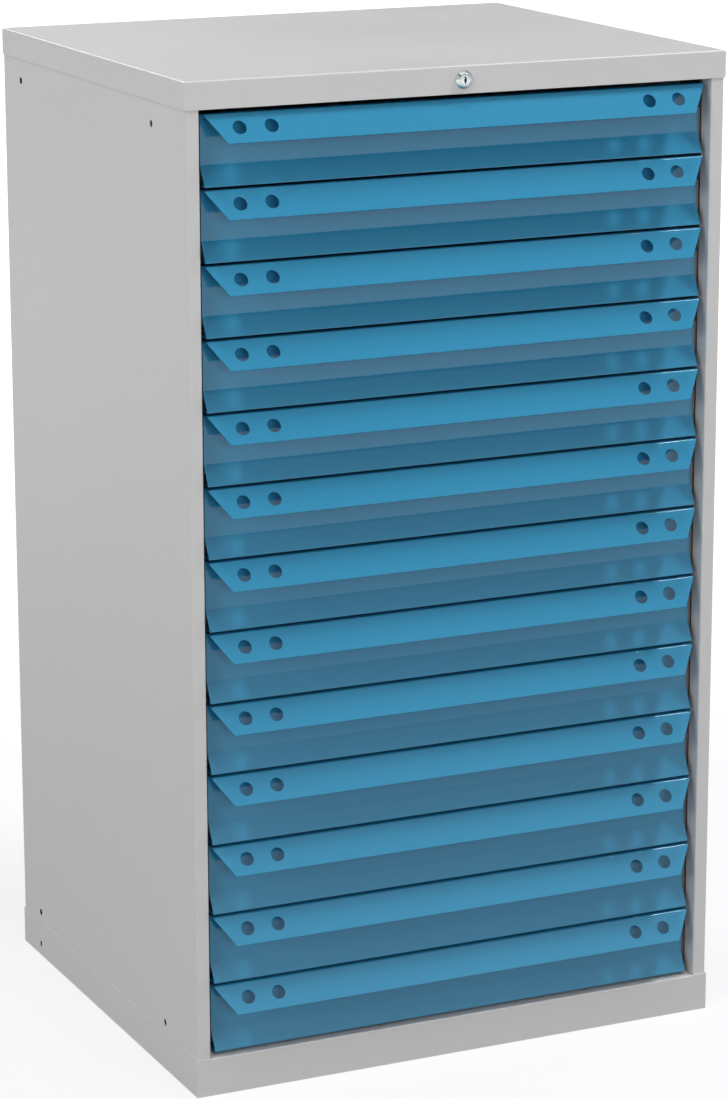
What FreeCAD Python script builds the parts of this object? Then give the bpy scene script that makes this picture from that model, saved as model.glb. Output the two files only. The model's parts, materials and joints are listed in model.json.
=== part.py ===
import FreeCAD, Part
import math
import os

from FreeCAD import Vector

os.makedirs("parts", exist_ok=True)

# Microscope slide cabinet: a folded steel carcass with a column of flat drawers
# on telescopic runners, all locked together from one cylinder lock in the lid.
# Millimetres. X runs to the right, Y to the back and Z up. The origin is the
# middle of the footprint, on the floor.

# ---- Carcass ----
width = 574.0              # over the lid and the plinth
depth = 496.0              # over the lid and the plinth
height = 1000.0
sheet = 1.0                # steel of the panels
fold = 1.5                 # outside radius of a fold that shows; inside it is sharp
lid_skirt = 27.0           # height of the lid's turned-down edge
plinth_height = 38.8
plinth_foot = 20.0         # flange of the plinth that stands on the floor
sill_depth = 22.0          # flange of the plinth under the bottom drawer front
sill_slit = 1.5            # relief slit between that flange and each jamb
jamb_width = 14.0          # face of a side panel beside the drawers
jamb_return = 19.0         # depth of the fold behind that face
rear_flange = 20.0         # fold of a side panel that carries the back panel
top_flange = 18.0          # fold of a side panel that carries the lid
floor_flange = 15.0        # fold of the bottom panel, welded to the side panels
floor_lap = 8.0            # how far the bottom panel reaches under the sill
back_margin = 6.0          # from the side of the carcass to the edge of the back panel
rail_top_flange = 18.0     # upper fold of the front and rear rails
rail_low_flange = 10.0     # lower fold of the front rail
rear_rail_height = 39.0    # its web reaches behind the top of the back panel
seam = 0.3                 # gap left where two fixed sheets meet edge to edge

# ---- Holes for bolting cabinets side by side ----
join_hole_bore = 7.0
join_hole_front = 86.0     # from the front of the lid
join_hole_back = 51.0      # from the back of the lid
join_hole_margin = 49.0    # from the floor and from the top
plinth_hole_height = 13.0

# ---- Drawer fronts ----
drawer_count = 13
front_gap = 2.8            # between one front and the next
head_gap = 5.2             # between the lid and the top front
sill_gap = 3.5             # between the plinth and the bottom front
front_side_gap = 6.8       # between a jamb and the end of a front
front_sheet = 1.0
crest_setback = 4.5        # crest of a front, behind the face of the jambs
lip_reach = 17.0           # how far the pull lip stands out from the crest
lip_drop = 26.0            # how far the pull lip falls
lip_cut = 17.5             # how far each end of the lip is cut back at its edge
recess_depth = 10.8        # finger recess behind the crest
slope_height = 20.2        # slanted foot of the front, below the recess
front_foot = 27.0          # fold under the tray
lip_hole_bore = 14.0
lip_hole_sides = 12        # punched as a many-sided hole, to keep the fronts light
lip_hole_inset = 32.3      # from the end of the front to the first hole
lip_hole_spacing = 32.4
lip_hole_fall = 15.0       # from the crest, down the lip

# ---- Drawer trays ----
tray_sheet = 0.8
tray_wall = 48.0
rear_space = 22.7          # behind the tray, for the locking bar
channel_count = 6          # rows of slides in a drawer
divider_height = 20.0
divider_foot = 8.0
divider_sheet = 0.8

# ---- Telescopic runners ----
runner_height = 35.0
runner_depth = 12.7        # from the post to the tray
runner_steel = 1.2
runner_play = 0.4          # between two members that slide in each other
runner_lift = 7.5          # from the bottom edge of the front to the runner
runner_start = 2.0         # runners and posts begin behind the jamb's fold
outer_channel = 9.0        # width of the member fixed to the post
middle_channel = 8.6
inner_channel = 7.7        # width of the member fixed to the tray
post_steel = 1.5
post_depth = 40.0
post_proud = 1.0           # posts stand this far inside the edge of the jambs
rear_post_inset = 24.0     # from the end of the runners

# ---- Lock ----
nose_base = 18.0           # bevelled chrome nose of the lock
nose_face = 12.4
nose_rim = 1.0             # straight rim before the bevel
nose_length = 4.0
barrel = 15.8
barrel_length = 21.0
barrel_play = 0.4          # on the diameter, in the lid, the rail and the nut
nut_flats = 20.0
nut_thickness = 4.0
plug = 10.6
plug_play = 0.4            # on the diameter
plug_recess = 0.3
plug_tail = 3.0            # how far the plug stands out of the back of the barrel
key_height = 8.5
key_width = 3.4
key_depth = 7.0
shaft = 8.0
shaft_spigot = 5.8         # reduced end of the shaft, held in the plug
spigot_length = 6.0
spigot_play = 0.2          # on the diameter

# ---- Locking gear at the back ----
crank_radius = 7.5
crank_turn = 90.0          # degrees that the key turns
crank_thickness = 3.0
crank_eye = 15.0           # rounded end round the shaft
pin_eye = 9.0              # rounded end round the pin
crank_pin = 4.0
pin_play = 0.9             # on the slot's height
bar_width = 40.0
bar_steel = 2.0
bar_stand = 4.5            # from the bar to the back panel
bar_head = 2.5             # steel above the slot for the pin
bar_tail = 18.0            # steel below the lowest window
crank_gap = 2.0            # between the crank and the bar
window_width = 10.0
window_play = 1.0
hook_thickness = 2.0       # of the sheet, seen from above
hook_arm = 5.0             # height of the arm behind the tray
hook_arm_height = 35.0     # from the bottom edge of the front to the arm
hook_play = 0.8            # between the hook and the bar, and to the back panel
hook_grip = 0.6            # between the raised bar and the arm
guide_width = 60.0
guide_height = 12.0
guide_front = 2.2          # nylon in front of the bar
guide_play = 0.3
guide_spots = (0, 6, 12)   # drawers above which a guide sits
guide_rise = 46.0          # from the bottom edge of that front
hanger_inset = 24.0        # from the crank to the hanger
hanger_steel = 2.0
hanger_width = 30.0
hanger_foot = 20.0
hanger_below = 12.0        # from the shaft's axis to the hanger's lower edge
bush = 12.0
bush_length = 8.0
bush_play = 0.3            # on the diameter, round the bush and round the shaft

# ---- Places worked out from the sizes above ----
front_face = -depth / 2 + sheet                # face of the jambs
back_face = depth / 2 - sheet                  # outside of the rear flanges
side_face = width / 2 - sheet                  # outside of the side panels
back_inside = back_face                        # the back panel lies on the flanges
jamb_edge = side_face - jamb_width             # edge of the drawer opening
jamb_end = front_face + jamb_return
lid_under = height - sheet
skirt_end = height - lid_skirt
floor_top = plinth_height - sheet              # bottom panel, below the sill flange

drawer_room = skirt_end - head_gap - plinth_height - sill_gap
pitch = (drawer_room + front_gap) / drawer_count
front_height = pitch - front_gap
lowest_front = plinth_height + sill_gap
front_half = jamb_edge - front_side_gap
crest_y = front_face + crest_setback
lip_y = crest_y - lip_reach
lip_z = front_height - lip_drop
recess_y = crest_y + recess_depth
lip_angle = math.atan2(lip_drop, lip_reach)

post_face = jamb_edge - post_proud
tray_half = post_face - runner_depth
tray_front = recess_y + front_sheet
tray_back = back_inside - rear_space
runner_front = jamb_end + runner_start
runner_back = tray_back

lock_z = height - lid_skirt / 2
half_turn = math.radians(crank_turn / 2)
bar_lift = 2 * crank_radius * math.sin(half_turn)
pin_drop = crank_radius * math.sin(half_turn)
bar_back = back_inside - bar_stand
bar_front = bar_back - bar_steel
crank_back = bar_front - crank_gap
crank_front = crank_back - crank_thickness
hook_drop = bar_lift - window_play + hook_grip
barrel_end = -depth / 2 + barrel_length
plug_end = barrel_end + plug_tail


def box(x0, x1, y0, y1, z0, z1):
    return Part.makeBox(x1 - x0, y1 - y0, z1 - z0, Vector(x0, y0, z0))


def rod(diameter, y0, y1, x=0.0, z=0.0):
    """A round bar from y0 to y1."""
    return Part.makeCylinder(diameter / 2, y1 - y0, Vector(x, y0, z), Vector(0, 1, 0))


def cross_rod(diameter, x0, x1, y, z):
    """A round bar from x0 to x1."""
    return Part.makeCylinder(diameter / 2, x1 - x0, Vector(x0, y, z), Vector(1, 0, 0))


def mirrored(shape):
    """The left-hand twin of a right-hand piece."""
    return shape.mirror(Vector(0, 0, 0), Vector(1, 0, 0))


def export(name, *solids):
    shape = solids[0] if len(solids) == 1 else Part.makeCompound(list(solids))
    shape.exportStep("parts/" + name + ".step")


# ---- Folded sheet ----
def across(u, v):
    """A point of a section that is drawn in plan."""
    return Vector(u, v, 0)


def along(u, v):
    """A point of a section that is drawn from the side, Y then Z."""
    return Vector(0, u, v)


def heading(start, end):
    """Unit direction from start to end, both (u, v)."""
    du, dv = end[0] - start[0], end[1] - start[1]
    length = math.hypot(du, dv)
    return du / length, dv / length


def turn_at(path, k):
    """Directions into and out of corner k, and the angle between them, left positive."""
    into = heading(path[k - 1], path[k])
    out = heading(path[k], path[k + 1])
    left = into[0] * out[1] - into[1] * out[0]
    ahead = into[0] * out[0] + into[1] * out[1]
    return into, out, math.atan2(left, ahead)


def moved_left(path, distance):
    """The same path moved to its left, with its corners mitred."""
    last = len(path) - 1
    moved = []
    for k, (u, v) in enumerate(path):
        into = heading(path[k - 1], path[k]) if k else heading(path[0], path[1])
        out = heading(path[k], path[k + 1]) if k < last else into
        share = distance / (1 + into[0] * out[0] + into[1] * out[1])
        moved.append((u - share * (into[1] + out[1]), v + share * (into[0] + out[0])))
    return moved


def rounded(path, radii, place):
    """Edges along a path, with an arc of the given radius at each corner."""
    edges = []
    start = place(*path[0])
    for k in range(1, len(path) - 1):
        into, out, turn = turn_at(path, k)
        corner, radius = path[k], radii[k - 1]
        reach = radius * math.tan(abs(turn) / 2)
        enter = place(corner[0] - reach * into[0], corner[1] - reach * into[1])
        leave = place(corner[0] + reach * out[0], corner[1] + reach * out[1])
        edges.append(Part.LineSegment(start, enter).toShape())
        if radius:
            inward = heading(into, out)
            sag = radius / math.cos(turn / 2) - radius
            middle = place(corner[0] + sag * inward[0], corner[1] + sag * inward[1])
            edges.append(Part.Arc(enter, middle, leave).toShape())
        start = leave
    edges.append(Part.LineSegment(start, place(*path[-1])).toShape())
    return edges


def folded(path, thickness, folds, place, length):
    """Sheet folded along a path, thickness to its left, pulled out by length.

    Each fold is the outside radius of that corner.
    """
    turns = [turn_at(path, k)[2] for k in range(1, len(path) - 1)]
    right_radii = [radius if turn > 0 else 0.0 for radius, turn in zip(folds, turns)]
    left_radii = [radius if turn < 0 else 0.0 for radius, turn in zip(folds, turns)]
    other = moved_left(path, thickness)
    edges = rounded(path, right_radii, place)
    edges += rounded(other, left_radii, place)
    for near, far in zip((path[0], path[-1]), (other[0], other[-1])):
        edges.append(Part.LineSegment(place(*near), place(*far)).toShape())
    wire = Part.Wire(Part.__sortEdges__(edges))
    return Part.Face(wire).extrude(length)


# ---- Carcass ----
def side_panel():
    """Right side panel: jamb, fold behind it, wall, rear flange and top flange."""
    plan = [
        (jamb_edge, jamb_end),
        (jamb_edge, front_face),
        (side_face, front_face),
        (side_face, back_face),
        (side_face - rear_flange, back_face),
    ]
    panel = folded(plan, sheet, (fold, fold, 0), across, Vector(0, 0, lid_under - sheet))
    panel.translate(Vector(0, 0, sheet))
    wall = side_face - sheet
    flange = box(wall - top_flange, wall, jamb_end + seam, back_face - sheet - seam,
                 lid_under - sheet, lid_under)
    panel = panel.fuse(flange).removeSplitter()
    for y in (-depth / 2 + join_hole_front, depth / 2 - join_hole_back):
        for z in (join_hole_margin, height - join_hole_margin):
            panel = panel.cut(cross_rod(join_hole_bore, wall - sheet, width / 2, y, z))
    return panel.cut(plinth_hole())


def plinth_hole():
    """Drill for the low joining hole at the back, through plinth and side panel."""
    y = depth / 2 - join_hole_back
    return cross_rod(join_hole_bore, side_face - 2 * sheet, width / 2, y, plinth_hole_height)


def back_panel():
    half = side_face - back_margin
    return box(-half, half, back_face, depth / 2, plinth_height + seam, skirt_end - seam)


def top_lid():
    """Box lid with turned-down edges, rounded where the sheet is folded."""
    lid = box(-width / 2, width / 2, -depth / 2, depth / 2, skirt_end, height)
    upper = [edge for edge in lid.Edges if all(v.Point.z > skirt_end + sheet for v in edge.Vertexes)]
    lid = lid.makeFillet(fold, upper)
    lid = lid.cut(box(-side_face, side_face, front_face, back_face, skirt_end, lid_under))
    return lid.cut(rod(barrel + barrel_play, -depth / 2, front_face, 0, lock_z))


def front_rail():
    """Channel behind the lid's front edge; it stiffens the opening and holds the lock."""
    half = jamb_edge - seam
    low = skirt_end + sheet
    web = box(-half, half, front_face, front_face + sheet, low, lid_under)
    upper = box(-half, half, front_face, front_face + rail_top_flange, lid_under - sheet, lid_under)
    lower = box(-half, half, front_face, front_face + rail_low_flange, low, low + sheet)
    rail = web.fuse([upper, lower]).removeSplitter()
    return rail.cut(rod(barrel + barrel_play, front_face, front_face + sheet, 0, lock_z))


def rear_rail():
    """Angle behind the lid's rear edge; the back panel's upper edge lies on it."""
    half = side_face - rear_flange - seam
    web = box(-half, half, back_face - sheet, back_face, lid_under - rear_rail_height, lid_under)
    upper = box(-half, half, back_face - rail_top_flange, back_face, lid_under - sheet, lid_under)
    return web.fuse(upper).removeSplitter()


def bottom_panel():
    """Floor of the carcass, under the sill flange in front, with welding flanges."""
    wall = side_face - sheet
    back = back_face - sheet - seam
    sill_end = -depth / 2 + sill_depth
    top, under = floor_top, floor_top - sheet
    floor = box(-wall, wall, jamb_end + seam, back, under, top)
    tongue = box(seam - jamb_edge, jamb_edge - seam, sill_end - floor_lap, jamb_end + seam, under, top)
    flange = box(wall - sheet, wall, jamb_end + seam, back, top - floor_flange, top)
    return floor.fuse([tongue, flange, mirrored(flange)]).removeSplitter()


def plinth_frame():
    """Welded base ring with a foot flange all round and a sill flange in front."""
    ring = box(-width / 2, width / 2, -depth / 2, depth / 2, 0, plinth_height)
    room = box(-side_face, side_face, front_face, back_face, sheet, plinth_height)
    foot_x, foot_y = width / 2 - plinth_foot, depth / 2 - plinth_foot
    opening = box(-foot_x, foot_x, -foot_y, foot_y, 0, sheet)
    frame = ring.cut(room).cut(opening)
    half = jamb_edge - sill_slit
    section = [(-depth / 2, sheet), (-depth / 2, plinth_height), (-depth / 2 + sill_depth, plinth_height)]
    sill = folded(list(reversed(section)), sheet, (fold,), along, Vector(2 * half, 0, 0))
    sill.translate(Vector(-half, 0, 0))
    frame = frame.cut(box(-half, half, -depth / 2, front_face, sheet, plinth_height))
    frame = frame.fuse(sill).removeSplitter()
    return frame.cut(plinth_hole()).cut(mirrored(plinth_hole()))


# ---- Drawers ----
def drawer_front():
    """Front of one drawer, folded from one sheet, with its bottom edge at z = 0."""
    inner_crest = crest_y + front_sheet * math.tan(lip_angle / 2)
    section = [
        (lip_y + front_sheet * math.sin(lip_angle), lip_z - front_sheet * math.cos(lip_angle)),
        (inner_crest, front_height - front_sheet),
        (recess_y, front_height - front_sheet),
        (recess_y, slope_height),
        (crest_y, 0),
        (crest_y + front_foot, 0),
    ]
    front = folded(section, front_sheet, (fold, 0, 0, fold), along, Vector(2 * front_half, 0, 0))
    front.translate(Vector(-front_half, 0, 0))
    return front.cut(lip_end()).cut(mirrored(lip_end())).cut(Part.makeCompound(lip_punches()))


def lip_end():
    """The corner that is cut off the right end of the lip."""
    below = lip_z - 2 * front_sheet
    cut_at_below = lip_cut * (front_height - below) / lip_drop
    corners = [
        Vector(front_half, lip_y - 2 * front_sheet, front_height),
        Vector(front_half, lip_y - 2 * front_sheet, below),
        Vector(front_half - cut_at_below, lip_y - 2 * front_sheet, below),
    ]
    face = Part.Face(Part.makePolygon(corners + corners[:1]))
    return face.extrude(Vector(0, crest_y - lip_y + 2 * front_sheet, 0))


def lip_punches():
    """Punches square to the lip, two near each end, for the label holder."""
    square = Vector(0, math.sin(lip_angle), -math.cos(lip_angle))
    down = Vector(0, -math.cos(lip_angle), -math.sin(lip_angle))
    punches = []
    for inset in (lip_hole_inset, lip_hole_inset + lip_hole_spacing):
        for side in (-1, 1):
            middle = Vector(side * (front_half - inset), crest_y, front_height)
            middle += down * lip_hole_fall - square * (2 * front_sheet)
            rim = []
            for k in range(lip_hole_sides):
                turn = 2 * math.pi * k / lip_hole_sides
                reach = Vector(math.cos(turn), 0, 0) + down * math.sin(turn)
                rim.append(middle + reach * (lip_hole_bore / 2))
            face = Part.Face(Part.makePolygon(rim + rim[:1]))
            punches.append(face.extrude(square * (4 * front_sheet)))
    return punches


def drawer_tray():
    """Open tray on the foot of the front, with a hook behind it for the locking bar."""
    low = front_sheet
    outer = box(-tray_half, tray_half, tray_front, tray_back, low, low + tray_wall)
    half = tray_half - tray_sheet
    room = box(-half, half, tray_front + tray_sheet, tray_back - tray_sheet,
               low + tray_sheet, low + tray_wall)
    return outer.cut(room).fuse(lock_hook()).removeSplitter()


def lock_hook():
    """Arm and hook that reach through a window of the locking bar."""
    hook_front = bar_back + hook_play
    hook_back = back_inside - hook_play
    arm_top = hook_arm_height + hook_arm
    outline = [
        (tray_back, hook_arm_height),
        (hook_front, hook_arm_height),
        (hook_front, hook_arm_height - hook_drop),
        (hook_back, hook_arm_height - hook_drop),
        (hook_back, arm_top),
        (tray_back, arm_top),
    ]
    points = [Vector(-hook_thickness / 2, y, z) for y, z in outline]
    face = Part.Face(Part.makePolygon(points + points[:1]))
    return face.extrude(Vector(hook_thickness, 0, 0))


def tray_dividers():
    """Low angle strips that part the rows of slides."""
    floor = front_sheet + tray_sheet
    start, end = tray_front + tray_sheet, tray_back - tray_sheet
    row = 2 * (tray_half - tray_sheet) / channel_count
    strips = []
    for k in range(1, channel_count):
        x = k * row - (tray_half - tray_sheet)
        half = divider_sheet / 2
        upright = box(x - half, x + half, start, end, floor, floor + divider_height)
        foot = box(x - half, x + divider_foot, start, end, floor, floor + divider_sheet)
        strips.append(upright.fuse(foot).removeSplitter())
    return strips


def channel(web_x, tip_x, half_height):
    """Right-hand runner member: a C section with its web at web_x."""
    inward = math.copysign(runner_steel, tip_x - web_x)
    middle = runner_lift + runner_height / 2
    low, high = middle - half_height, middle + half_height
    outline = [
        (web_x, low), (tip_x, low), (tip_x, low + runner_steel),
        (web_x + inward, low + runner_steel), (web_x + inward, high - runner_steel),
        (tip_x, high - runner_steel), (tip_x, high), (web_x, high),
    ]
    points = [Vector(x, runner_front, z) for x, z in outline]
    face = Part.Face(Part.makePolygon(points + points[:1]))
    return face.extrude(Vector(0, runner_back - runner_front, 0))


runner_step = runner_steel + runner_play


def outer_member():
    return channel(post_face, post_face - outer_channel, runner_height / 2)


def middle_member():
    web = post_face - runner_step
    return channel(web, web - middle_channel, runner_height / 2 - runner_step)


def inner_member():
    return channel(tray_half, tray_half + inner_channel, runner_height / 2 - 2 * runner_step)


def runner_post(start):
    """Right-hand upright that carries the runners, welded to the side panel."""
    wall, end = side_face - sheet, start + post_depth
    plan = [(wall, end), (post_face, end), (post_face, start), (wall, start)]
    low, high = floor_top, lid_under - sheet - seam
    post = folded(plan, post_steel, (0, 0), across, Vector(0, 0, high - low))
    post.translate(Vector(0, 0, low))
    return post


# ---- Lock ----
def lock_body():
    """Threaded barrel with the bevelled nose that shows on the lid's edge."""
    face = -depth / 2
    rim = rod(nose_base, face - nose_rim, face, 0, lock_z)
    bevel = Part.makeCone(
        nose_base / 2, nose_face / 2, nose_length - nose_rim,
        Vector(0, face - nose_rim, lock_z), Vector(0, -1, 0),
    )
    body = rim.fuse([bevel, rod(barrel, face, barrel_end, 0, lock_z)]).removeSplitter()
    return body.cut(rod(plug + plug_play, face - nose_length, barrel_end, 0, lock_z))


def lock_nut():
    """Hexagon nut on the barrel, behind the front rail, with two flats level."""
    start = front_face + sheet
    corner = nut_flats / math.sqrt(3)
    points = [
        Vector(corner * math.cos(k * math.pi / 3), start, lock_z + corner * math.sin(k * math.pi / 3))
        for k in range(6)
    ]
    hexagon = Part.Face(Part.makePolygon(points + points[:1])).extrude(Vector(0, nut_thickness, 0))
    return hexagon.cut(rod(barrel + barrel_play, start, start + nut_thickness, 0, lock_z))


def lock_plug():
    """Turning core with a lozenge keyhole, upright when the drawers are free."""
    face = -depth / 2 - nose_length + plug_recess
    core = rod(plug, face, plug_end, 0, lock_z)
    lozenge = [
        Vector(0, face, lock_z - key_height / 2), Vector(key_width / 2, face, lock_z),
        Vector(0, face, lock_z + key_height / 2), Vector(-key_width / 2, face, lock_z),
    ]
    keyhole = Part.Face(Part.makePolygon(lozenge + lozenge[:1])).extrude(Vector(0, key_depth, 0))
    socket = rod(shaft_spigot + spigot_play, plug_end - spigot_length, plug_end, 0, lock_z)
    return core.cut(keyhole).cut(socket)


def lock_shaft():
    """Long rod under the lid, from the plug to the crank."""
    spigot = rod(shaft_spigot, plug_end - spigot_length, plug_end, 0, lock_z)
    return rod(shaft, plug_end, crank_front, 0, lock_z).fuse(spigot).removeSplitter()


def pin_place():
    """Middle of the crank pin at rest: left of the shaft and below it."""
    return -crank_radius * math.cos(half_turn), lock_z - pin_drop


def crank_arm():
    """Lever on the end of the shaft, with the pin that lifts the locking bar."""
    x, z = pin_place()
    eye = rod(crank_eye, crank_front, crank_back, 0, lock_z)
    end = rod(pin_eye, crank_front, crank_back, x, z)
    lean = math.atan2(z - lock_z, x)
    across_x, across_z = -math.sin(lean), math.cos(lean)
    flank = [
        Vector(side * across_x * crank_eye / 2, crank_front, lock_z + side * across_z * crank_eye / 2)
        for side in (1, -1)
    ]
    flank += [
        Vector(x + side * across_x * pin_eye / 2, crank_front, z + side * across_z * pin_eye / 2)
        for side in (-1, 1)
    ]
    web = Part.Face(Part.makePolygon(flank + flank[:1])).extrude(Vector(0, crank_thickness, 0))
    pin = rod(crank_pin, crank_back, bar_back + hook_play, x, z)
    return eye.fuse([end, web, pin]).removeSplitter()


def front_base(number):
    """Height of the bottom edge of a front; number 0 is the lowest drawer."""
    return lowest_front + number * pitch


def locking_bar():
    """Upright strip with a window for each drawer's hook and a slot for the pin."""
    x, z = pin_place()
    slot_half = (crank_pin + pin_play) / 2
    top = z + slot_half + bar_head
    window_low = hook_arm_height - hook_drop - window_play
    window_high = hook_arm_height + hook_arm + window_play
    bottom = front_base(0) + window_low - bar_tail
    bar = box(-bar_width / 2, bar_width / 2, bar_front, bar_back, bottom, top)
    reach_near = -x - slot_half - pin_play
    reach_far = crank_radius + slot_half + pin_play
    cuts = [box(-reach_far, -reach_near, bar_front, bar_back, z - slot_half, z + slot_half)]
    for number in range(drawer_count):
        base = front_base(number)
        cuts.append(box(-window_width / 2, window_width / 2, bar_front, bar_back,
                        base + window_low, base + window_high))
    return bar.cut(Part.makeCompound(cuts))


def bar_guide(number):
    """Nylon block on the back panel; the bar slides in its slot."""
    low = front_base(number) + guide_rise
    half = bar_width / 2 + guide_play
    block = box(-guide_width / 2, guide_width / 2, bar_front - guide_play - guide_front,
                back_inside, low, low + guide_height)
    return block.cut(box(-half, half, bar_front - guide_play, bar_back + guide_play,
                         low, low + guide_height))


def shaft_hanger():
    """Angle under the lid that carries the bush of the shaft."""
    y = crank_front - hanger_inset
    half = hanger_width / 2
    leg = box(-half, half, y, y + hanger_steel, lock_z - hanger_below, lid_under)
    foot = box(-half, half, y - hanger_foot, y + hanger_steel, lid_under - hanger_steel, lid_under)
    hanger = leg.fuse(foot).removeSplitter()
    return hanger.cut(rod(bush + bush_play, y, y + hanger_steel, 0, lock_z))


def shaft_bush():
    """Nylon bush in the hanger, standing out equally on both sides."""
    start = crank_front - hanger_inset + (hanger_steel - bush_length) / 2
    sleeve = rod(bush, start, start + bush_length, 0, lock_z)
    return sleeve.cut(rod(shaft + bush_play, start, start + bush_length, 0, lock_z))


# ---- Build every piece ----
right_side = side_panel()
export("right_side", right_side)
export("left_side", mirrored(right_side))
export("back_panel", back_panel())
export("top_lid", top_lid())
export("front_rail", front_rail())
export("rear_rail", rear_rail())
export("bottom_panel", bottom_panel())
export("plinth_frame", plinth_frame())

posts = [runner_post(runner_front), runner_post(runner_back - rear_post_inset - post_depth)]
export("runner_posts", *posts, *[mirrored(post) for post in posts])

export("lock_body", lock_body())
export("lock_nut", lock_nut())
export("lock_plug", lock_plug())
export("lock_shaft", lock_shaft())
export("crank_arm", crank_arm())
export("locking_bar", locking_bar())
export("bar_guides", *[bar_guide(number) for number in guide_spots])
export("shaft_hanger", shaft_hanger())
export("shaft_bush", shaft_bush())

one_front = drawer_front()
one_tray = [drawer_tray()] + tray_dividers() + [inner_member(), mirrored(inner_member())]
middle_pair = [middle_member(), mirrored(middle_member())]
outer_pair = [outer_member(), mirrored(outer_member())]
cabinet_members = []
for number in range(drawer_count):
    lift = Vector(0, 0, front_base(number))
    label = "%02d" % (drawer_count - number)
    export("drawer_front_" + label, one_front.translated(lift))
    export("drawer_tray_" + label, *[solid.translated(lift) for solid in one_tray])
    export("runner_middle_" + label, *[solid.translated(lift) for solid in middle_pair])
    cabinet_members += [solid.translated(lift) for solid in outer_pair]
export("cabinet_runners", *cabinet_members)
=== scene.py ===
# %% [markdown]
# # Microscope slide cabinet
# This lesson dresses a steel cabinet with thirteen flat drawers. Its working parts
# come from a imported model, the frame, in metres: X to the right, Y to the back, Z up,
# with the origin on the floor under the middle. The frame is never moved. Pieces
# whose form the eye rests on are modelled again with finer edges, and every surface
# gets a finish made of nodes.

# %% Load the frame
import json
import math

import bmesh
import bpy
from mathutils import Matrix, Vector


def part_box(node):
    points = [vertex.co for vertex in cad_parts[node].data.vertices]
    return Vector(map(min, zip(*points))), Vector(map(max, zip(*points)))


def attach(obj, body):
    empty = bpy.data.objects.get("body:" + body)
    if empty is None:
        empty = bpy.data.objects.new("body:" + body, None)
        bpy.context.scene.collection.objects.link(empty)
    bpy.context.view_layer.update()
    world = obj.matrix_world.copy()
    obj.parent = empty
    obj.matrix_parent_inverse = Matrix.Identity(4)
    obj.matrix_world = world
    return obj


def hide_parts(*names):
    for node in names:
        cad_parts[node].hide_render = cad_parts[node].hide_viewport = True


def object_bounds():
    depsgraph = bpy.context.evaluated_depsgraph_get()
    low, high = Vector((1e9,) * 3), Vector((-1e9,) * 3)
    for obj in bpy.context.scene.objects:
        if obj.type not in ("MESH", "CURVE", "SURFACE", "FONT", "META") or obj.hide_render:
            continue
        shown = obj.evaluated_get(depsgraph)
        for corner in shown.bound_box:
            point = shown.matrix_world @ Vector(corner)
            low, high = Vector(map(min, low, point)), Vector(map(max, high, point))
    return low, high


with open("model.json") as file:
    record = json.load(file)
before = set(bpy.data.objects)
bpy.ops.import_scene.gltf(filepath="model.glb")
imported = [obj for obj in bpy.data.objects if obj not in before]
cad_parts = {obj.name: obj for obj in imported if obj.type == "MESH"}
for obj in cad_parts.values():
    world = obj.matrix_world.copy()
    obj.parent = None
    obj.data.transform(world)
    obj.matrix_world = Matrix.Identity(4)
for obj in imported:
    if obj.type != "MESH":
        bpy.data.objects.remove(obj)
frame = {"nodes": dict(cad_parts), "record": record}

cad_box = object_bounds()
nodes = frame["nodes"]
bpy.ops.object.select_all(action="DESELECT")

# %% [markdown]
# ## Helpers for modelling by hand
# Operators act on what is selected, so each helper deselects first. A finished piece
# keeps its object at the origin, with its place in its mesh, like a node of the frame.

# %% Select, edit and finish
MM = 0.001


def only(piece):
    """Select this piece alone and make it the active one."""
    bpy.ops.object.select_all(action="DESELECT")
    piece.select_set(True)
    bpy.context.view_layer.objects.active = piece


def named(name):
    """Name the object that an operator has just added."""
    piece = bpy.context.object
    piece.name = name
    piece.data.name = name
    return piece


def settle(piece):
    """Put a piece's place, turn and scale into its mesh."""
    only(piece)
    bpy.ops.object.transform_apply(location=True, rotation=True, scale=True)


def open_mesh(piece, kind):
    """Enter edit mode with nothing selected. The kind is VERT, EDGE or FACE."""
    only(piece)
    bpy.ops.object.mode_set(mode="EDIT")
    bpy.ops.mesh.select_mode(type=kind)
    bpy.ops.mesh.select_all(action="DESELECT")


def close_mesh():
    bpy.ops.object.mode_set(mode="OBJECT")


def middle_of(part):
    total = Vector((0, 0, 0))
    for vertex in part.verts:
        total += vertex.co
    return total / len(part.verts)


def pick(piece, kind, test):
    """In edit mode, select only the edges or faces whose middle passes the test."""
    bpy.ops.mesh.select_all(action="DESELECT")
    mesh = bmesh.from_edit_mesh(piece.data)
    for part in getattr(mesh, kind):
        if test(middle_of(part)):
            part.select_set(True)
    bmesh.update_edit_mesh(piece.data)


def extrude(x=0.0, y=0.0, z=0.0):
    """Extrude what is selected by a move in metres."""
    bpy.ops.mesh.extrude_region_move(TRANSFORM_OT_translate={"value": (x, y, z)})


def apply_modifier(piece, kind, **settings):
    """Add one modifier, set it and apply it."""
    only(piece)
    modifier = piece.modifiers.new(kind.title(), kind)
    for key, value in settings.items():
        setattr(modifier, key, value)
    bpy.ops.object.modifier_apply(modifier=modifier.name)


def cut_away(piece, cutter):
    """Cut the cutter's shape out of a piece, then throw the cutter away."""
    apply_modifier(piece, "BOOLEAN", operation="DIFFERENCE", solver="EXACT", object=cutter)
    bpy.data.objects.remove(cutter)


def break_edges(piece, width, segments, degrees):
    """Bevel the edges that are sharper than an angle."""
    apply_modifier(piece, "BEVEL", width=width, segments=segments, limit_method="ANGLE",
                   angle_limit=math.radians(degrees))


def smooth(piece, degrees=35):
    only(piece)
    bpy.ops.object.shade_smooth_by_angle(angle=math.radians(degrees))


def flatten_shading(piece):
    """Let the large faces set the shading, so that flat sheet looks flat."""
    apply_modifier(piece, "WEIGHTED_NORMAL", weight=100, keep_sharp=True)


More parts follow.
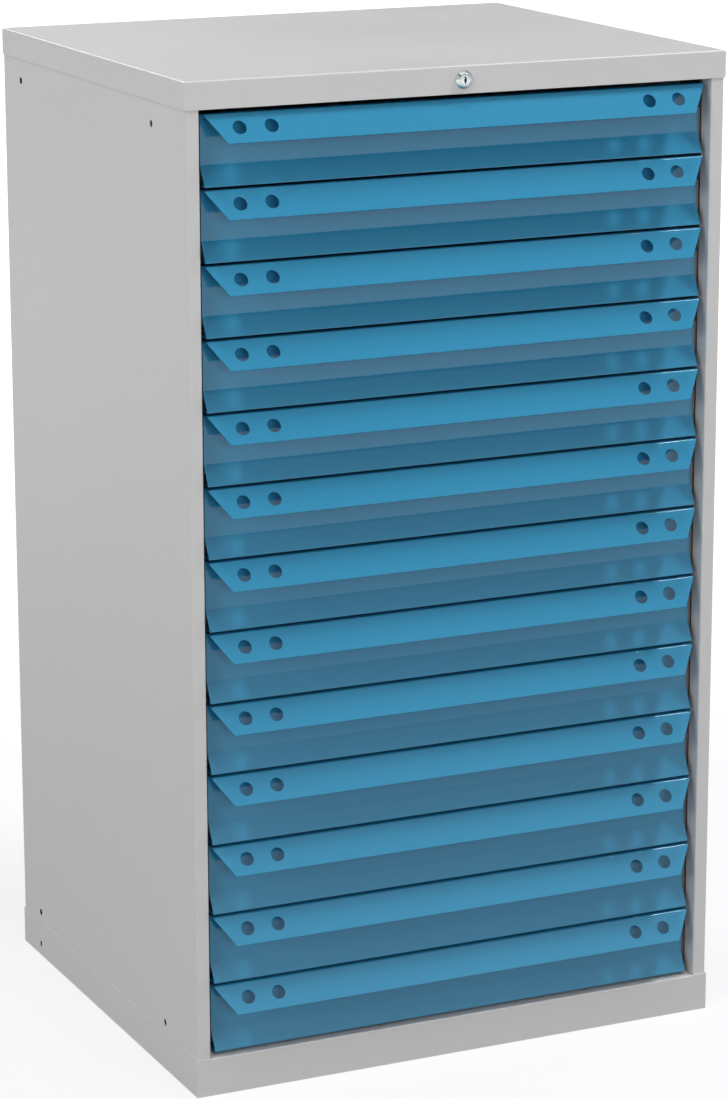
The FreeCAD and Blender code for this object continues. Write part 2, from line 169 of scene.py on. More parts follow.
def wear(piece, material):
    """Give a piece one material."""
    piece.data.materials.clear()
    piece.data.materials.append(material)


def copy_of(piece, name, move):
    """A copy with its own mesh, moved inside that mesh."""
    twin = piece.copy()
    twin.data = piece.data.copy()
    twin.name = name
    twin.data.name = name
    twin.data.transform(Matrix.Translation(move))
    bpy.context.scene.collection.objects.link(twin)
    return twin


def triangles(piece):
    return sum(len(face.vertices) - 2 for face in piece.data.polygons)


print("the frame has", sum(triangles(node) for node in nodes.values()), "triangles")

# %% [markdown]
# ## Finishes
# Powder coat is paint that is sprayed on as dust and melted in an oven. It sets as a
# satin skin with a faint orange peel, a ripple about a millimetre across. One node
# group makes that ripple, a slow drift of tone and the small change of gloss that
# goes with them. Each paint uses the group with values of its own. The group puts
# out numbers only, and the shader stays in the material.

# %% The orange-peel group
def socket(group, name, way, kind, default=None):
    made = group.interface.new_socket(name=name, in_out=way, socket_type=kind)
    if default is not None:
        made.default_value = default
    return made


def add_node(tree, kind, **settings):
    node = tree.nodes.new(kind)
    for key, value in settings.items():
        setattr(node, key, value)
    return node


def noise(tree, vector, scale, detail):
    """A noise texture whose size is set by a number or by a socket."""
    node = add_node(tree, "ShaderNodeTexNoise")
    tree.links.new(vector, node.inputs["Vector"])
    if isinstance(scale, (int, float)):
        node.inputs["Scale"].default_value = scale
    else:
        tree.links.new(scale, node.inputs["Scale"])
    node.inputs["Detail"].default_value = detail
    return node.outputs["Fac"]


def remap(tree, value, low, high, start=0.3, end=0.7):
    """Map start to end onto low to high, with no kink at the ends."""
    node = add_node(tree, "ShaderNodeMapRange", interpolation_type="SMOOTHSTEP")
    tree.links.new(value, node.inputs["Value"])
    node.inputs["From Min"].default_value = start
    node.inputs["From Max"].default_value = end
    for key, bound in (("To Min", low), ("To Max", high)):
        if isinstance(bound, (int, float)):
            node.inputs[key].default_value = bound
        else:
            tree.links.new(bound, node.inputs[key])
    return node.outputs["Result"]


def orange_peel_group():
    group = bpy.data.node_groups.new("orange_peel", "ShaderNodeTree")
    socket(group, "Vector", "INPUT", "NodeSocketVector")
    socket(group, "Colour", "INPUT", "NodeSocketColor", (0.5, 0.5, 0.5, 1))
    socket(group, "Ripples per metre", "INPUT", "NodeSocketFloat", 700.0)
    socket(group, "Gloss low", "INPUT", "NodeSocketFloat", 0.4)
    socket(group, "Gloss high", "INPUT", "NodeSocketFloat", 0.5)
    socket(group, "Drift", "INPUT", "NodeSocketFloat", 0.97)
    socket(group, "Colour", "OUTPUT", "NodeSocketColor")
    socket(group, "Roughness", "OUTPUT", "NodeSocketFloat")
    socket(group, "Height", "OUTPUT", "NodeSocketFloat")
    given = add_node(group, "NodeGroupInput")
    result = add_node(group, "NodeGroupOutput")
    place = given.outputs["Vector"]
    peel = noise(group, place, scale=given.outputs["Ripples per metre"], detail=1.5)
    cloud = noise(group, place, scale=5.0, detail=2.0)
    speck = noise(group, place, scale=2600.0, detail=1.0)
    group.links.new(peel, result.inputs["Height"])
    gloss = remap(group, cloud, low=given.outputs["Gloss low"],
                  high=given.outputs["Gloss high"])
    group.links.new(gloss, result.inputs["Roughness"])
    drift = remap(group, cloud, low=given.outputs["Drift"], high=1.0)
    grain = remap(group, speck, low=0.985, high=1.015)
    tone = add_node(group, "ShaderNodeMath", operation="MULTIPLY")
    group.links.new(drift, tone.inputs[0])
    group.links.new(grain, tone.inputs[1])
    tint = add_node(group, "ShaderNodeVectorMath", operation="SCALE")
    group.links.new(given.outputs["Colour"], tint.inputs[0])
    group.links.new(tone.outputs[0], tint.inputs["Scale"])
    group.links.new(tint.outputs[0], result.inputs["Colour"])
    return group


ORANGE_PEEL = orange_peel_group()
print("group", ORANGE_PEEL.name, "holds", len(ORANGE_PEEL.nodes), "nodes")


# %% [markdown]
# The carcass is light grey and the drawer fronts are mid blue. The colours are linear
# light, not screen values: a screen grey of 196 of 255 is about 0.55.

# %% Paints
def new_material(name):
    """A material with its Principled shader and Object coordinates."""
    material = bpy.data.materials.new(name)
    material.use_nodes = True
    tree = material.node_tree
    shader = tree.nodes["Principled BSDF"]
    place = add_node(tree, "ShaderNodeTexCoord").outputs["Object"]
    return material, tree, shader, place


def bump(tree, shader, height, strength, distance):
    node = add_node(tree, "ShaderNodeBump")
    node.inputs["Strength"].default_value = strength
    node.inputs["Distance"].default_value = distance
    tree.links.new(height, node.inputs["Height"])
    tree.links.new(node.outputs["Normal"], shader.inputs["Normal"])


def powder_coat(name, colour, gloss=(0.31, 0.34), drift=0.985, ripple=650.0, sheen=0.4):
    material, tree, shader, place = new_material(name)
    peel = add_node(tree, "ShaderNodeGroup", node_tree=ORANGE_PEEL)
    tree.links.new(place, peel.inputs["Vector"])
    peel.inputs["Colour"].default_value = (*colour, 1)
    peel.inputs["Ripples per metre"].default_value = ripple
    peel.inputs["Gloss low"].default_value = gloss[0]
    peel.inputs["Gloss high"].default_value = gloss[1]
    peel.inputs["Drift"].default_value = drift
    shader.inputs["Specular IOR Level"].default_value = sheen
    tree.links.new(peel.outputs["Colour"], shader.inputs["Base Color"])
    tree.links.new(peel.outputs["Roughness"], shader.inputs["Roughness"])
    bump(tree, shader, peel.outputs["Height"], strength=0.25, distance=0.12 * MM)
    return material


GREY = (0.705, 0.70, 0.70)
BLUE = (0.039, 0.277, 0.478)
grey_coat = powder_coat("grey_powder_coat", GREY)
blue_coat = powder_coat("blue_powder_coat", BLUE, gloss=(0.07, 0.11), sheen=0.42)
tray_coat = powder_coat("tray_powder_coat", (0.50, 0.51, 0.51), gloss=(0.42, 0.5))
print("paints", grey_coat.name, blue_coat.name, tray_coat.name)


# %% [markdown]
# Zinc-plated steel was rolled before it was plated, so its grain is drawn out along
# the cabinet's depth. Stretching the coordinates before the noise gives that grain.

# %% Bare metals and nylon
GRAIN = (900.0, 18.0, 900.0)
BLOOM = (0.86, 0.88, 0.92)


def rolled_steel(name, colour, gloss):
    material, tree, shader, place = new_material(name)
    stretch = add_node(tree, "ShaderNodeMapping")
    stretch.inputs["Scale"].default_value = GRAIN
    tree.links.new(place, stretch.inputs["Vector"])
    lines = noise(tree, stretch.outputs["Vector"], scale=1.0, detail=3.0)
    bloom = noise(tree, place, scale=60.0, detail=3.0)
    tint = add_node(tree, "ShaderNodeMix", data_type="RGBA")
    tint.inputs["A"].default_value = (*colour, 1)
    bloomed = [level * share for level, share in zip(colour, BLOOM)]
    tint.inputs["B"].default_value = (*bloomed, 1)
    tree.links.new(remap(tree, bloom, low=0.0, high=1.0), tint.inputs["Factor"])
    tree.links.new(tint.outputs["Result"], shader.inputs["Base Color"])
    tree.links.new(remap(tree, lines, gloss[0], gloss[1]), shader.inputs["Roughness"])
    shader.inputs["Metallic"].default_value = 1.0
    bump(tree, shader, lines, strength=0.15, distance=0.05 * MM)
    return material


def chrome_plate(name):
    material, tree, shader, place = new_material(name)
    smear = noise(tree, place, scale=350.0, detail=2.0)
    shader.inputs["Base Color"].default_value = (0.56, 0.60, 0.62, 1)
    shader.inputs["Metallic"].default_value = 1.0
    tree.links.new(remap(tree, smear, low=0.12, high=0.2), shader.inputs["Roughness"])
    bump(tree, shader, smear, strength=0.08, distance=0.05 * MM)
    return material


def moulded_nylon(name, colour):
    material, tree, shader, place = new_material(name)
    skin = noise(tree, place, scale=900.0, detail=2.0)
    shader.inputs["Base Color"].default_value = (*colour, 1)
    tree.links.new(remap(tree, skin, low=0.42, high=0.58), shader.inputs["Roughness"])
    bump(tree, shader, skin, strength=0.2, distance=0.08 * MM)
    return material


zinc = rolled_steel("zinc_plate", (0.46, 0.47, 0.485), (0.28, 0.42))
chrome = chrome_plate("bright_chrome")
nylon = moulded_nylon("black_nylon", (0.012, 0.012, 0.014))
print("metals and nylon", zinc.name, chrome.name, nylon.name)

# %% [markdown]
# Each node of the frame takes its finish from its slot in the record, so one loop
# dresses them all.

# %% Dress the frame
FINISH = {
    "carcass_paint": grey_coat,
    "drawer_paint": blue_coat,
    "tray_paint": tray_coat,
    "zinc": zinc,
    "lock_chrome": chrome,
    "nylon": nylon,
}
for part in frame["record"]["subparts"]:
    wear(nodes[part["node"]], FINISH[part["material_slot"]])

# %% [markdown]
# ## Drawer front
# The real front is one strip of 1 mm sheet, folded five times: a pull lip that slopes
# forward and down, a narrow top, an upright panel set back as a finger recess, a
# slanted foot and a fold under the tray. It is modelled the way it is folded. A plane
# is the upright panel, its edges are extruded into the other faces, and the folds are
# bevelled round. Only then does the strip get its thickness.

# %% Sizes of a front, from the top drawer
front_low, front_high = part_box("drawer_front_01")
SHEET = 1.0 * MM
BEND = 1.5 * MM
LIP_REACH = 17.0 * MM
LIP_CUT = 17.5 * MM
RECESS = 10.8 * MM
SLOPE = 20.2 * MM
FOOT = 27.0 * MM
PANEL_BEND = 0.5 * MM
CREST_BEND = 0.6 * MM
LIP_DROP = 26.0 * MM
front_half = front_high.x
front_top = front_high.z
lip_y = front_low.y
crest_y = lip_y + LIP_REACH
recess_y = crest_y + RECESS
lip_tip = front_top - LIP_DROP
lip_angle = math.atan2(LIP_DROP, LIP_REACH)
print("a front is", round(2 * front_half / MM, 1), "mm wide")


# %% [markdown]
# The visible side of the panel is the inside of the crest fold, so the strip is drawn
# on that side and its thickness goes back and up. Near the crest the drawn line lies
# one sheet inside the outer faces.

# %% Fold the strip
def front_strip():
    inner_crest_y = crest_y + SHEET * math.tan(lip_angle / 2)
    inner_top = front_top - SHEET
    panel_low = front_low.z + SLOPE
    tip_y = lip_y + SHEET * math.sin(lip_angle)
    tip_z = lip_tip - SHEET * math.cos(lip_angle)
    centre_z = (panel_low + inner_top) / 2
    bpy.ops.mesh.primitive_plane_add(size=1, location=(0, recess_y, centre_z),
                                     rotation=(math.pi / 2, 0, 0))
    strip = named("front_strip")
    strip.scale = (2 * front_half, inner_top - panel_low, 1)
    settle(strip)
    open_mesh(strip, "EDGE")
    pick(strip, "edges", lambda m: m.z < panel_low + MM)
    extrude(y=crest_y - recess_y, z=-SLOPE)
    extrude(y=FOOT)
    pick(strip, "edges", lambda m: m.z > inner_top - MM)
    extrude(y=inner_crest_y - recess_y)
    extrude(y=tip_y - inner_crest_y, z=tip_z - inner_top)
    round_folds(strip, [(crest_y, front_low.z, BEND), (recess_y, panel_low, PANEL_BEND),
                        (recess_y, inner_top, PANEL_BEND),
                        (inner_crest_y, inner_top, CREST_BEND)])
    close_mesh()
    return strip


def round_folds(strip, folds):
    """Bevel the edges that run along X at each (y, z) by a width."""
    for y, z, width in folds:
        pick(strip, "edges",
             lambda m: abs(m.x) < MM and math.hypot(m.y - y, m.z - z) < 0.1 * MM)
        bpy.ops.mesh.bevel(offset=width, segments=4, affect="EDGES")


strip = front_strip()
print("the strip has", len(strip.data.polygons), "faces")

# %% [markdown]
# Each end of the lip is cut off on a slant, so that it can't catch a sleeve. A bisect
# plane that stands square on the lip does it, on the lip's face alone.

# %% Cut the ends of the lip
def cut_lip_end(strip, side):
    outward = Vector((0, -math.sin(lip_angle), math.cos(lip_angle)))
    edge = Vector((-side * LIP_CUT, -LIP_REACH, -LIP_DROP))
    across = edge.cross(outward)
    if across.x * side < 0:
        across.negate()
    pick(strip, "faces", lambda m: m.y < crest_y - 2 * MM and m.z > lip_tip - 2 * SHEET)
    bpy.ops.mesh.bisect(plane_co=(side * front_half, crest_y, front_top), plane_no=across,
                        clear_outer=True)


open_mesh(strip, "FACE")
for side in (-1, 1):
    cut_lip_end(strip, side)
close_mesh()
apply_modifier(strip, "SOLIDIFY", thickness=SHEET, offset=-1, use_even_offset=True)
print("thick strip", [round(v / MM, 2) for v in strip.dimensions])

# %% [markdown]
# Two round holes near each end of the lip take a label holder. A cylinder square to
# the lip is the drill, and a Boolean modifier drills with it. A last bevel breaks all
# sharp edges by a fifth of a millimetre, as paint does on a real sheet.

# %% Drill the holes and break the edges
HOLE_RADIUS = 7.0 * MM
HOLE_INSETS = (32.3 * MM, 64.7 * MM)
HOLE_FALL = 15.0 * MM
DRILL_LENGTH = 8.0 * MM


def drill_lip(strip):
    y = crest_y - HOLE_FALL * math.cos(lip_angle)
    z = front_top - HOLE_FALL * math.sin(lip_angle)
    for inset in HOLE_INSETS:
        for side in (-1, 1):
            bpy.ops.mesh.primitive_cylinder_add(
                vertices=48, radius=HOLE_RADIUS, depth=DRILL_LENGTH,
                location=(side * (front_half - inset), y, z), rotation=(lip_angle, 0, 0))
            drill = named("drill")
            settle(drill)
            cut_away(strip, drill)


drill_lip(strip)
break_edges(strip, width=0.18 * MM, segments=2, degrees=50)
smooth(strip)
flatten_shading(strip)
wear(strip, blue_coat)
print("drilled front:", triangles(strip), "triangles")

# %% [markdown]
# One front is modelled and thirteen are needed. Each copy has its own mesh, stands
# for its node, and rides on its drawer.

# %% Thirteen fronts
DRAWERS = sorted(name[-2:] for name in nodes if name.startswith("drawer_front_"))
for label in DRAWERS:
    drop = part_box("drawer_front_" + label)[0].z - front_low.z
    face = copy_of(strip, "drawer_face_" + label, (0, 0, drop))
    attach(face, "drawer_" + label)
    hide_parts("drawer_front_" + label)
bpy.data.objects.remove(strip)
print(len(DRAWERS), "drawer faces")

# %% [markdown]
# ## Lock
# The lock's nose is a chromed casting: a short straight rim, a wide bevel, and a flat
# face with the turning plug in it. A cylinder is the rim. Its front cap is extruded
# and scaled into the bevel, and then inset and pushed in for the plug's bore. The back
# cap grows into the barrel that goes through the lid.

# %% Lock nose
nose_low, nose_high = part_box("lock_body")
plug_low, plug_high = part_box("lock_plug")
lid_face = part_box("top_lid")[0].y
lock_z = (nose_low.z + nose_high.z) / 2
NOSE_RADIUS = nose_high.x
NOSE_FACE = 6.2 * MM
NOSE_RIM = 1.0 * MM
BARREL_RADIUS = 7.9 * MM
PLUG_RADIUS = plug_high.x
PLUG_PLAY = 0.2 * MM
BORE_FRONT = 6.0 * MM
BORE_BACK = 12.0 * MM
LOCK_AXIS = (math.pi / 2, 0, 0)


def scale_cap(factor):
    """Scale what is selected in X and Z about the lock's axis."""
    bpy.ops.transform.resize(value=(factor, 1, factor),
                             center_override=(0, lid_face, lock_z))


def lock_nose():
    bpy.ops.mesh.primitive_cylinder_add(
        vertices=72, radius=NOSE_RADIUS, depth=NOSE_RIM,
        location=(0, lid_face - NOSE_RIM / 2, lock_z), rotation=LOCK_AXIS)
    nose = named("lock_nose")
    settle(nose)
    open_mesh(nose, "FACE")
    pick(nose, "faces", lambda m: abs(m.x) < MM and m.y < lid_face - 0.9 * NOSE_RIM
         and abs(m.z - lock_z) < MM)
    extrude(y=nose_low.y - (lid_face - NOSE_RIM))
    scale_cap(NOSE_FACE / NOSE_RADIUS)
    bpy.ops.mesh.inset(thickness=NOSE_FACE - PLUG_RADIUS - PLUG_PLAY)
    extrude(y=BORE_FRONT)
    pick(nose, "faces", lambda m: abs(m.x) < MM and m.y > lid_face - 0.1 * NOSE_RIM
         and abs(m.z - lock_z) < MM)
    bpy.ops.mesh.inset(thickness=NOSE_RADIUS - BARREL_RADIUS)
    extrude(y=nose_high.y - lid_face)
    bpy.ops.mesh.inset(thickness=BARREL_RADIUS - PLUG_RADIUS - PLUG_PLAY)
    extrude(y=-BORE_BACK)
    close_mesh()
    break_edges(nose, width=0.3 * MM, segments=3, degrees=25)
    smooth(nose, 20)
    wear(nose, chrome)
    return nose


nose = lock_nose()
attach(nose, "carcass")
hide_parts("lock_body")
print("lock nose:", triangles(nose), "triangles")

# %% [markdown]
# The plug is a round core that fills the bore. Its keyhole is a lozenge, the section
# of the flat key's blade, and is cut by a four-sided prism.

# %% Lock plug
KEY_HEIGHT = 8.5 * MM
KEY_WIDTH = 3.4 * MM
KEY_DEPTH = 7.0 * MM


def lock_core():
    depth = plug_high.y - plug_low.y
    bpy.ops.mesh.primitive_cylinder_add(
        vertices=72, radius=PLUG_RADIUS, depth=depth,
        location=(0, (plug_low.y + plug_high.y) / 2, lock_z), rotation=LOCK_AXIS)
    core = named("lock_core_plug")
    settle(core)
    bpy.ops.mesh.primitive_cylinder_add(
        vertices=4, radius=0.5, depth=2 * KEY_DEPTH,
        location=(0, plug_low.y, lock_z), rotation=LOCK_AXIS)
    blade = named("blade")
    blade.scale = (KEY_WIDTH, KEY_HEIGHT, 1)
    settle(blade)
    cut_away(core, blade)
    break_edges(core, width=0.22 * MM, segments=2, degrees=40)
    smooth(core, 25)
    wear(core, chrome)
    return core


core = lock_core()
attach(core, "lock_core")
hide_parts("lock_plug")
print("lock plug:", triangles(core), "triangles")

# %% [markdown]
# ## Back
# The back panel is a flat sheet, riveted to the folds of the side panels. Its rivets
# are countersunk, so that the cabinet can stand flat against a wall: each head is a
# low dome that sits in a shallow pocket. The sheet is a flattened cube with its edges
# broken, and a Boolean modifier sinks all the pockets with one cutter.

# %% Back sheet with pockets
RIVET_RADIUS = 3.2 * MM
RIVET_PLAY = 0.3 * MM
RIVET_SINK = 0.5 * MM
RIVET_DIMPLE = 1.1 * MM
RIVET_ROWS = 9
RIVET_EDGE = 7.0 * MM
panel_low, panel_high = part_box("back_panel")


def disc(name, radius, depth, y):
    """A short cylinder along Y whose outer cap lies at y, at the lowest left rivet."""
    place = (panel_low.x + RIVET_EDGE, y - depth / 2, panel_low.z + 2 * RIVET_EDGE)
    bpy.ops.mesh.primitive_cylinder_add(vertices=24, radius=radius, depth=depth,
                                        location=place, rotation=LOCK_AXIS)
    piece = named(name)
    settle(piece)
    return piece


def at_all_rivets(first, name):
    """Copy a piece from the lowest left rivet to all of them, as one piece."""
    across = panel_high.x - panel_low.x - 2 * RIVET_EDGE
    step = (panel_high.z - panel_low.z - 4 * RIVET_EDGE) / (RIVET_ROWS - 1)
    every = [first]
    for row in range(RIVET_ROWS):
        for column in (0, 1):
            if row or column:
                every.append(copy_of(first, name, (column * across, 0, row * step)))
    only(first)
    for piece in every:
        piece.select_set(True)
    bpy.ops.object.join()
    return named(name)


def back_sheet():
    bpy.ops.mesh.primitive_cube_add(size=1, location=(panel_low + panel_high) / 2)
    sheet = named("back_sheet")
    sheet.scale = panel_high - panel_low
    settle(sheet)
    cutter = disc("pocket", RIVET_RADIUS + RIVET_PLAY, 2 * RIVET_SINK,
                  panel_high.y + RIVET_SINK)
    cutter = at_all_rivets(cutter, "pockets")
    cut_away(sheet, cutter)
    break_edges(sheet, width=0.2 * MM, segments=2, degrees=50)
    smooth(sheet)
    flatten_shading(sheet)
    wear(sheet, grey_coat)
    return sheet


back = back_sheet()
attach(back, "carcass")
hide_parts("back_panel")
print("back sheet:", triangles(back), "triangles")


# %% Rivet heads
def rivet_head():
    """A low dome with the dimple that its mandrel leaves."""
    outer = panel_high.y - 0.05 * MM
    head = disc("rivet", RIVET_RADIUS, RIVET_SINK, outer)
    open_mesh(head, "FACE")
    pick(head, "faces", lambda m: m.y > outer - 0.1 * RIVET_SINK)
    bpy.ops.mesh.bevel(offset=0.7 * RIVET_SINK, segments=3, affect="EDGES")
    pick(head, "faces", lambda m: m.y > outer - 0.01 * RIVET_SINK)
    bpy.ops.mesh.inset(thickness=RIVET_DIMPLE)
    extrude(y=-0.5 * RIVET_SINK)
    close_mesh()
    smooth(head)
    return head


rivets = at_all_rivets(rivet_head(), "back_rivets")
wear(rivets, zinc)
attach(rivets, "carcass")
print("rivets:", triangles(rivets), "triangles")

# %% [markdown]
# ## Joining holes
# Cabinets stand in rows, bolted side to side through holes near the corners of each
# side. A thin black tube lines each hole as painted shade: it darkens the inside of the
# hole, where shade falls. The tube is a cylinder whose two caps are inset by the
# thickness of its wall and then bridged, which opens it from end to end.

# %% Dark tubes in the holes, as painted shade
BUSH_RADIUS = 3.45 * MM
BUSH_WALL = 0.35 * MM
BUSH_LENGTH = 5.0 * MM
BUSH_SINK = 0.1 * MM
HOLE_FRONT = 86.0 * MM
HOLE_BACK = 51.0 * MM
HOLE_MARGIN = 49.0 * MM
LOW_HOLE = 13.0 * MM
side_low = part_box("left_side")[0]


def shade_tube(name, y, z):
    """A tube that starts just under the outside of the left panel and goes inward."""
    outer = side_low.x + BUSH_SINK
    bpy.ops.mesh.primitive_cylinder_add(
        vertices=32, radius=BUSH_RADIUS, depth=BUSH_LENGTH,
        location=(outer + BUSH_LENGTH / 2, y, z), rotation=(0, math.pi / 2, 0))
    tube = named(name)
    settle(tube)
    open_mesh(tube, "FACE")
    pick(tube, "faces", lambda m: math.hypot(m.y - y, m.z - z) < 0.5 * BUSH_WALL)
    bpy.ops.mesh.inset(thickness=BUSH_WALL)
    bpy.ops.mesh.bridge_edge_loops()
    close_mesh()
    smooth(tube)
    # The black nylon here is painted shade: it makes the inside of the hole dark.
    wear(tube, nylon)
    return tube


def place_shade_tubes():
    front, back = cad_box[0][1] + HOLE_FRONT, cad_box[1][1] - HOLE_BACK
    top = cad_box[1][2] - HOLE_MARGIN
    spots = ((front, HOLE_MARGIN), (front, top), (back, HOLE_MARGIN), (back, top),
             (back, LOW_HOLE))
    across = -2 * (side_low.x + BUSH_SINK) - BUSH_LENGTH
    for number, (y, z) in enumerate(spots, 1):
        left = shade_tube("shade_tube_left_%d" % number, y, z)
        right = copy_of(left, "shade_tube_right_%d" % number, (across, 0, 0))
        for tube in (left, right):
            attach(tube, "carcass")
    return 2 * len(spots)


print(place_shade_tubes(), "bushes")

# %% [markdown]
# ## Stage
# The floor is plain and pale. The camera and glossy surfaces see it as white, and the
# lamps' light that it gives back to the cabinet is that of a pale grey floor. A share
# of real light stays in what the camera sees, so the cabinet's shadow shows.

# %% Floor
FLOOR_SIZE = 80.0
FLOOR_GREY = 0.31
FLOOR_SHARE = 0.24
GLOW_NEAR = 0.76
GLOW_FAR = 1.3
GLOW_RISE = (0.5, 4.0)


def any_of(tree, first, second):
    node = add_node(tree, "ShaderNodeMath", operation="MAXIMUM")
    tree.links.new(first, node.inputs[0])
    tree.links.new(second, node.inputs[1])
    return node.outputs[0]


def seen_directly(tree):
    """1 for camera, glossy and transmission rays, and 0 for diffuse light."""
    path = add_node(tree, "ShaderNodeLightPath")
    first = any_of(tree, path.outputs["Is Camera Ray"], path.outputs["Is Glossy Ray"])
    return any_of(tree, first, path.outputs["Is Transmission Ray"])


def diffuse(tree, level):
    node = add_node(tree, "ShaderNodeBsdfDiffuse")
    node.inputs["Color"].default_value = (level, level, level, 1)
    return node.outputs[0]


def distance_glow(tree):
    """The floor's own glow, which grows with the distance from the cabinet."""
    place = add_node(tree, "ShaderNodeTexCoord").outputs["Object"]
    length = add_node(tree, "ShaderNodeVectorMath", operation="LENGTH")
    tree.links.new(place, length.inputs[0])
    return remap(tree, length.outputs["Value"], GLOW_NEAR, GLOW_FAR, *GLOW_RISE)


def floor_material():
    material = bpy.data.materials.new("pale_floor")
    material.use_nodes = True
    tree = material.node_tree
    tree.nodes.remove(tree.nodes["Principled BSDF"])
    glow = add_node(tree, "ShaderNodeEmission")
    tree.links.new(distance_glow(tree), glow.inputs["Strength"])
    shown = add_node(tree, "ShaderNodeAddShader")
    tree.links.new(diffuse(tree, FLOOR_SHARE), shown.inputs[0])
    tree.links.new(glow.outputs[0], shown.inputs[1])
    mix = add_node(tree, "ShaderNodeMixShader")
    tree.links.new(seen_directly(tree), mix.inputs["Fac"])
    tree.links.new(diffuse(tree, FLOOR_GREY), mix.inputs[1])
    tree.links.new(shown.outputs[0], mix.inputs[2])
    tree.links.new(mix.outputs[0], tree.nodes["Material Output"].inputs["Surface"])
    return material


bpy.ops.mesh.primitive_plane_add(size=FLOOR_SIZE, location=(0, 0, 0))
floor = named("floor")
wear(floor, floor_material())
print("floor", FLOOR_SIZE, "m wide")

# %% [markdown]
# Two white cards hang near the cabinet, as studios use them. Only glossy surfaces see
# them, and each fades from one edge to the other. The front card is bright at its
# lower edge. A low drawer mirrors that bright part and a high drawer the dim one, so
# the lower fronts look paler than the upper ones. The lid's left half mirrors the
# bright end of the back card.

# %% Cards
def card_material(name, axis, glow, fade):
    """Light that changes from one glow to the other between two places on an axis."""
    material = bpy.data.materials.new(name)
    material.use_nodes = True
    material.cycles.emission_sampling = "NONE"
    tree = material.node_tree
    tree.nodes.remove(tree.nodes["Principled BSDF"])
    split = add_node(tree, "ShaderNodeSeparateXYZ")
    tree.links.new(add_node(tree, "ShaderNodeTexCoord").outputs["Object"], split.inputs[0])
    light = add_node(tree, "ShaderNodeEmission")
    tree.links.new(remap(tree, split.outputs[axis], *glow, *fade), light.inputs["Strength"])
    tree.links.new(light.outputs[0], tree.nodes["Material Output"].inputs["Surface"])
    return material


def hang_card(name, middle, width, height, axis, glow, fade):
    """Hang an upright card that only glossy rays see."""
    bpy.ops.mesh.primitive_plane_add(size=1, location=middle, rotation=(math.pi / 2, 0, 0))
    card = named(name)
    card.scale = (width, height, 1)
    settle(card)
    wear(card, card_material(name, axis, glow, fade))
    card.visible_camera = False
    card.visible_diffuse = False
    card.visible_transmission = False
    card.visible_shadow = False


hang_card("front_card", (0.75, -1.6, 2.13), 6.5, 2.54, "Z", (1.12, 0.2), (0.95, 2.45))
hang_card("back_card", (0.8, 3.0, 1.3), 2.8, 1.8, "X", (0.6, 0.1), (0.4, 1.7))
print("two cards hung")

# %% [markdown]
# The world is a soft studio dome. The camera sees it white, and dull surfaces get an
# even, modest light from it. Glossy surfaces see greys that change with height. In
# front they dim above the card and grow bright again overhead, for the chromed lock.
# Behind they stay dim, so that the lid, which mirrors what lies behind it, keeps its
# own grey.

# %% World
DOME_LIGHT = 0.29
SHINE = 1.3
FRONT_SHINE = ((0.0, 0.55), (0.35, 0.6), (0.5, 0.95), (0.57, 0.68), (0.62, 0.42),
               (0.67, 0.16), (0.78, 0.16), (0.84, 1.0))
BACK_SHINE = ((0.0, 0.12), (0.3, 0.15), (0.6, 0.3), (0.8, 0.1))
TURN = (-0.3, 0.3)


def shine_ramp(tree, height, stops):
    """Grey levels against height: 0 is the horizon and 1 is straight up."""
    ramp = add_node(tree, "ShaderNodeValToRGB")
    tree.links.new(height, ramp.inputs["Fac"])
    steps = ramp.color_ramp.elements
    while len(steps) < len(stops):
        steps.new(0.5)
    for step, (position, level) in zip(steps, stops):
        step.position = position
        step.color = (level, level, level, 1)
    return ramp.outputs["Color"]


def level_mix(tree, factor, first, second):
    """Mix two levels. Each is a number or a socket."""
    mix = add_node(tree, "ShaderNodeMix", data_type="FLOAT")
    tree.links.new(factor, mix.inputs["Factor"])
    for key, value in (("A", first), ("B", second)):
        if isinstance(value, float):
            mix.inputs[key].default_value = value
        else:
            tree.links.new(value, mix.inputs[key])
    return mix.outputs["Result"]


def studio_dome():
    """White for the camera, an even light for dull surfaces, and a glow for glossy ones."""
    world = bpy.data.worlds.new("studio_dome")
    bpy.context.scene.world = world
    world.use_nodes = True
    tree = world.node_tree
    direction = add_node(tree, "ShaderNodeTexCoord").outputs["Generated"]
    split = add_node(tree, "ShaderNodeSeparateXYZ")
    tree.links.new(direction, split.inputs[0])
    backward = remap(tree, split.outputs["Y"], 0.0, 1.0, *TURN)
    shine = level_mix(tree, backward, shine_ramp(tree, split.outputs["Z"], FRONT_SHINE),
                      shine_ramp(tree, split.outputs["Z"], BACK_SHINE))
    bright = add_node(tree, "ShaderNodeMath", operation="MULTIPLY")
    tree.links.new(shine, bright.inputs[0])
    bright.inputs[1].default_value = SHINE
    path = add_node(tree, "ShaderNodeLightPath")
    lit = level_mix(tree, path.outputs["Is Glossy Ray"], DOME_LIGHT, bright.outputs[0])
    through = any_of(tree, path.outputs["Is Camera Ray"],
                     path.outputs["Is Transmission Ray"])
    background = tree.nodes["Background"]
    background.inputs["Color"].default_value = (1, 1, 1, 1)
    tree.links.new(level_mix(tree, through, lit, 1.0), background.inputs["Strength"])


studio_dome()
print("world", bpy.context.scene.world.name)

# %% [markdown]
# Six lamps add the direction that an even dome lacks. Four are soft boxes that glossy
# surfaces don't see: from overhead, from the left at two heights, and from the front.
# They make the pull lips bright over their shaded recesses. Two may show as a
# highlight. The one behind draws the bright line along the lid's folded edge, and the
# small one on the right throws light through the holes of each lip.

# %% Lamps
AIM = Vector((0, -0.25, 0.55))


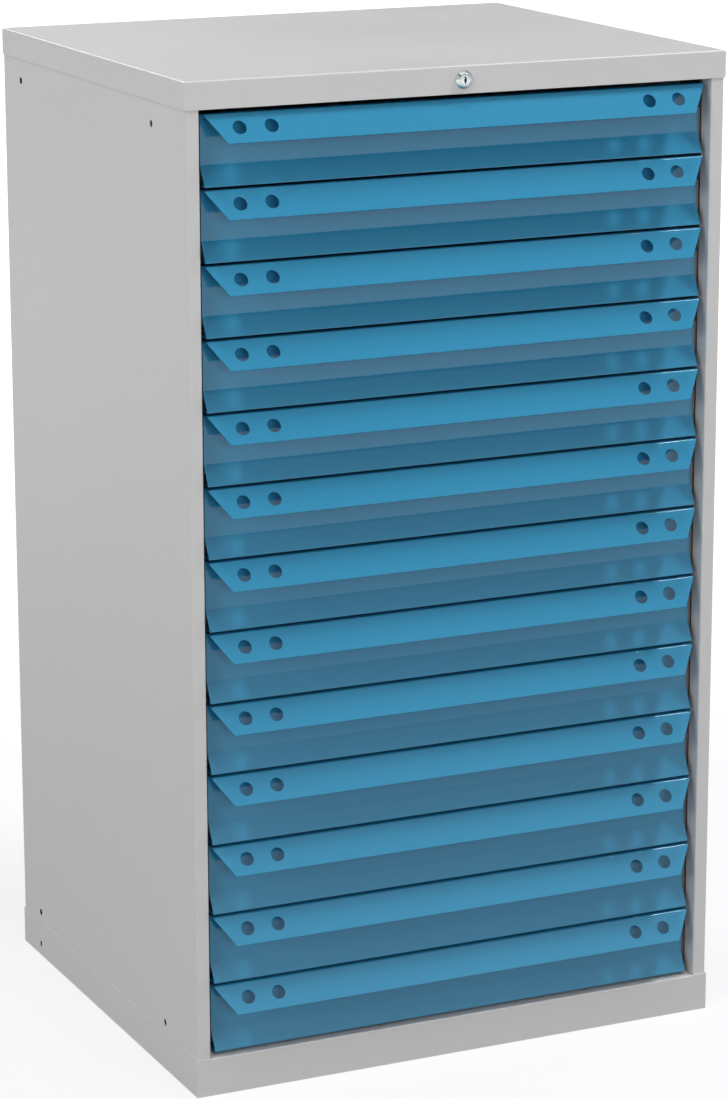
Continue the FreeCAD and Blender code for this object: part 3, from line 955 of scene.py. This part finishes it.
def softbox(name, direction, distance, size, power, highlight=False):
    """A round lamp that looks at the cabinet, sized in metres and powered in watts."""
    lamp = bpy.data.lights.new(name, "AREA")
    lamp.shape = "DISK"
    lamp.size = size
    lamp.energy = power
    holder = bpy.data.objects.new(name, lamp)
    holder.visible_glossy = highlight
    bpy.context.scene.collection.objects.link(holder)
    away = Vector(direction).normalized()
    holder.location = AIM + away * distance
    holder.rotation_euler = away.to_track_quat("Z", "Y").to_euler()


softbox("overhead_softbox", (0.0, -0.12, 1.0), 6.0, 1.2, 76.0)
softbox("high_left_softbox", (-0.6, -0.3, 0.75), 4.0, 1.6, 22.0)
softbox("left_softbox", (-0.85, -0.5, 0.25), 6.0, 2.4, 64.0)
softbox("front_softbox", (-0.12, -1.0, 0.2), 6.0, 2.4, 64.0)
softbox("back_softbox", (-0.22, 0.88, 0.42), 5.0, 1.4, 45.0, highlight=True)
softbox("right_spot", (0.54, -0.23, 0.81), 3.6, 0.6, 47.0, highlight=True)
print("lamps placed")

# %% [markdown]
# ## Camera
# The camera stands in front on the left, a little above the lid, and looks slightly
# down through a long lens. Its place is in metres, its angles are in degrees, and the
# slight roll is the tilt of a hand-set camera.

# %% Camera
CAMERA_PLACE = Vector((-1.5863, -3.4387, 1.4308))
CAMERA_TURN = 24.895
CAMERA_DOWN = 14.252
CAMERA_ROLL = 0.108
CAMERA_LENS = 122.80
CAMERA_SENSOR = 36.0
CAMERA_REACH = 200.0


def place_camera():
    data = bpy.data.cameras.new("camera")
    data.sensor_width = CAMERA_SENSOR
    data.lens = CAMERA_LENS
    data.clip_end = CAMERA_REACH
    camera = bpy.data.objects.new("camera", data)
    bpy.context.scene.collection.objects.link(camera)
    turn = Matrix.Rotation(math.radians(-CAMERA_TURN), 4, "Z")
    tilt = Matrix.Rotation(math.radians(90 - CAMERA_DOWN), 4, "X")
    roll = Matrix.Rotation(math.radians(-CAMERA_ROLL), 4, "Z")
    camera.matrix_world = Matrix.Translation(CAMERA_PLACE) @ turn @ tilt @ roll
    bpy.context.scene.camera = camera
    return camera


camera = place_camera()
bpy.context.scene.view_settings.view_transform = "Standard"
print("camera at", [round(v, 3) for v in camera.location])
